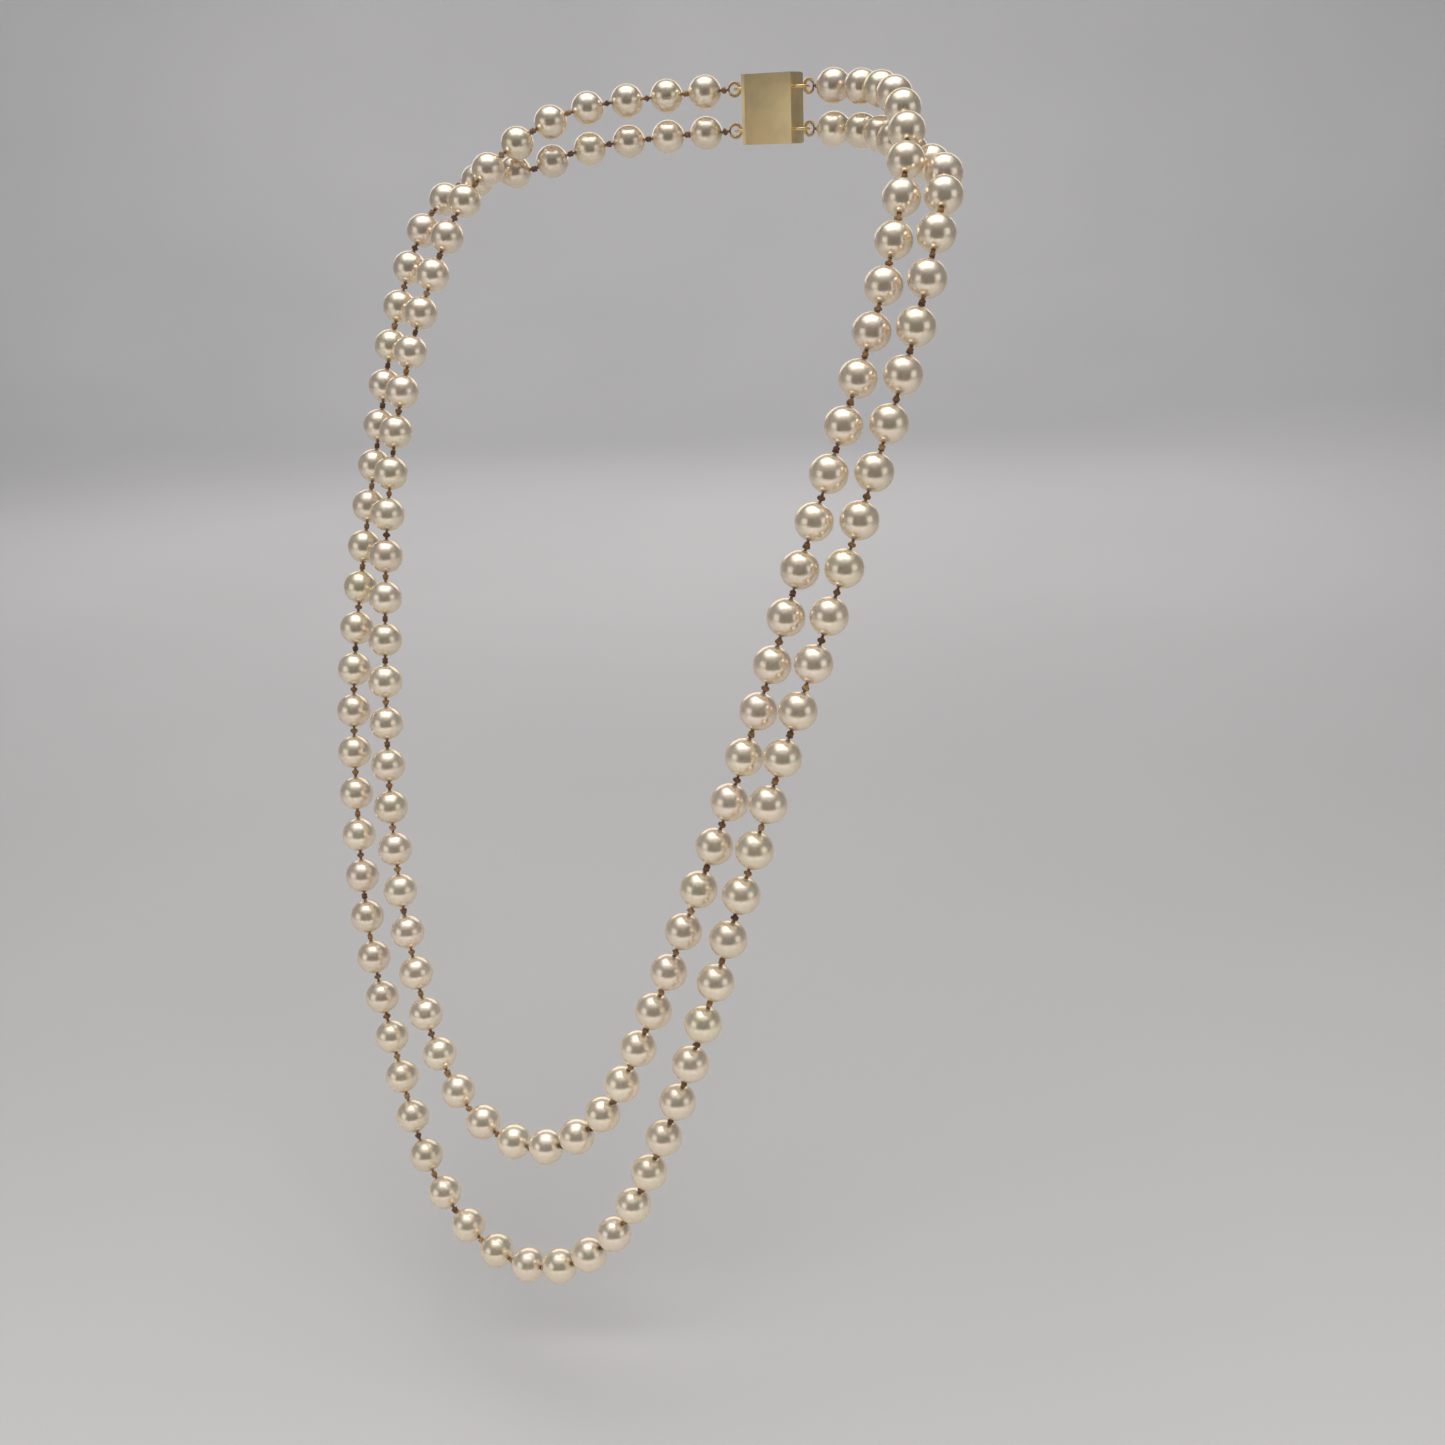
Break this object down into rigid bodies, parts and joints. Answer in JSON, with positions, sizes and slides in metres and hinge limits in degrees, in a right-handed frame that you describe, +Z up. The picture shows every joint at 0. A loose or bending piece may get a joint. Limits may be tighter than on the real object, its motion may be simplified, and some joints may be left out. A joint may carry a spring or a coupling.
{
  "type": "pearl necklace",
  "caption": "Double-row necklace of knotted round pearls, the rows hanging one inside the other and joined at the nape by a box clasp with a spring tongue.",
  "frame": {"origin": "middle of the clasp's neck-side face, at the nape", "axes": "+Z up as worn, +X towards the wearer's left, -Y forwards to the chest"},
  "size_m": [0.1498, 0.1306, 0.2635],
  "materials": {
    "pearl": "nacre: cream body, high soft lustre with a faint rose overtone",
    "silk": "twisted silk cord, tan brown",
    "gimp": "fine coiled gilt wire",
    "clasp": "polished gold plate"
  },
  "bodies": {
    "necklace_back": {"inner_pearls_back": "pearl", "outer_pearls_back": "pearl", "inner_silk_back": "silk", "outer_silk_back": "silk", "gimp_left": "gimp", "clasp_box": "clasp", "clasp_cover": "clasp"},
    "right_nape_far": {"inner_pearls_nape_far": "pearl", "outer_pearls_nape_far": "pearl", "silk_nape_far": "silk"},
    "right_nape_near": {"inner_pearls_nape_near": "pearl", "outer_pearls_nape_near": "pearl", "silk_nape_near": "silk", "gimp_right": "gimp"},
    "clasp_tongue": {"clasp_tongue": "clasp"},
    "clasp_spring_leaf": {"clasp_spring_leaf": "clasp"},
    "inner_upper": {"inner_pearls_upper": "pearl", "inner_silk_upper": "silk"},
    "inner_middle": {"inner_pearls_middle": "pearl", "inner_silk_middle": "silk"},
    "inner_lower": {"inner_pearls_lower": "pearl", "inner_silk_lower": "silk"},
    "inner_bottom": {"inner_pearls_bottom": "pearl", "inner_silk_bottom": "silk"},
    "outer_upper": {"outer_pearls_upper": "pearl", "outer_silk_upper": "silk"},
    "outer_middle": {"outer_pearls_middle": "pearl", "outer_silk_middle": "silk"},
    "outer_lower": {"outer_pearls_lower": "pearl", "outer_silk_lower": "silk"},
    "outer_bottom": {"outer_pearls_bottom": "pearl", "outer_silk_bottom": "silk"}
  },
  "joints": [
    {"name": "inner_upper_lift", "type": "hinge", "parent": "necklace_back", "child": "inner_upper", "pos_m": [0, -0.05639, -0.03922], "axis": [-1, 0, 0], "range_deg": [0, 40]},
    {"name": "inner_middle_lift", "type": "hinge", "parent": "inner_upper", "child": "inner_middle", "pos_m": [0, -0.07889, -0.08331], "axis": [-1, 0, 0], "range_deg": [0, 25]},
    {"name": "inner_lower_lift", "type": "hinge", "parent": "inner_middle", "child": "inner_lower", "pos_m": [0, -0.09449, -0.12984], "axis": [-1, 0, 0], "range_deg": [0, 25]},
    {"name": "inner_bottom_lift", "type": "hinge", "parent": "inner_lower", "child": "inner_bottom", "pos_m": [0, -0.10738, -0.17623], "axis": [-1, 0, 0], "range_deg": [0, 25]},
    {"name": "outer_upper_lift", "type": "hinge", "parent": "necklace_back", "child": "outer_upper", "pos_m": [0, -0.05469, -0.03797], "axis": [-1, 0, 0], "range_deg": [0, 40]},
    {"name": "outer_middle_lift", "type": "hinge", "parent": "outer_upper", "child": "outer_middle", "pos_m": [0, -0.07594, -0.08272], "axis": [-1, 0, 0], "range_deg": [0, 25]},
    {"name": "outer_lower_lift", "type": "hinge", "parent": "outer_middle", "child": "outer_lower", "pos_m": [0, -0.09517, -0.12805], "axis": [-1, 0, 0], "range_deg": [0, 25]},
    {"name": "outer_bottom_lift", "type": "hinge", "parent": "outer_lower", "child": "outer_bottom", "pos_m": [0, -0.1095, -0.18472], "axis": [-1, 0, 0], "range_deg": [0, 25]},
    {"name": "nape_swing", "type": "hinge", "parent": "necklace_back", "child": "right_nape_far", "pos_m": [-0.04603, -0.01826, -0.00398], "axis": [0, 0, 1], "range_deg": [0, 36]},
    {"name": "nape_fold", "type": "hinge", "parent": "right_nape_far", "child": "right_nape_near", "pos_m": [-0.0319, -0.00466, -0.0012], "axis": [0, 0, 1], "range_deg": [-53, 0]},
    {"name": "tongue_on_loops", "type": "hinge", "parent": "right_nape_near", "child": "clasp_tongue", "pos_m": [-0.01015, 0.0025, 0], "axis": [0, 0, 1], "range_deg": [0, 17]},
    {"name": "leaf_press", "type": "hinge", "parent": "clasp_tongue", "child": "clasp_spring_leaf", "pos_m": [0.0009, 0.00195, 0], "axis": [0, 0, 1], "range_deg": [0, 8], "stiffness_Nm_per_rad": 0.05, "springref_deg": -2.86}
  ],
  "couplings": [
    {"joint": "nape_fold", "follows": "nape_swing", "ratio": -1.46},
    {"joint": "tongue_on_loops", "follows": "nape_swing", "ratio": 0.46}
  ]
}
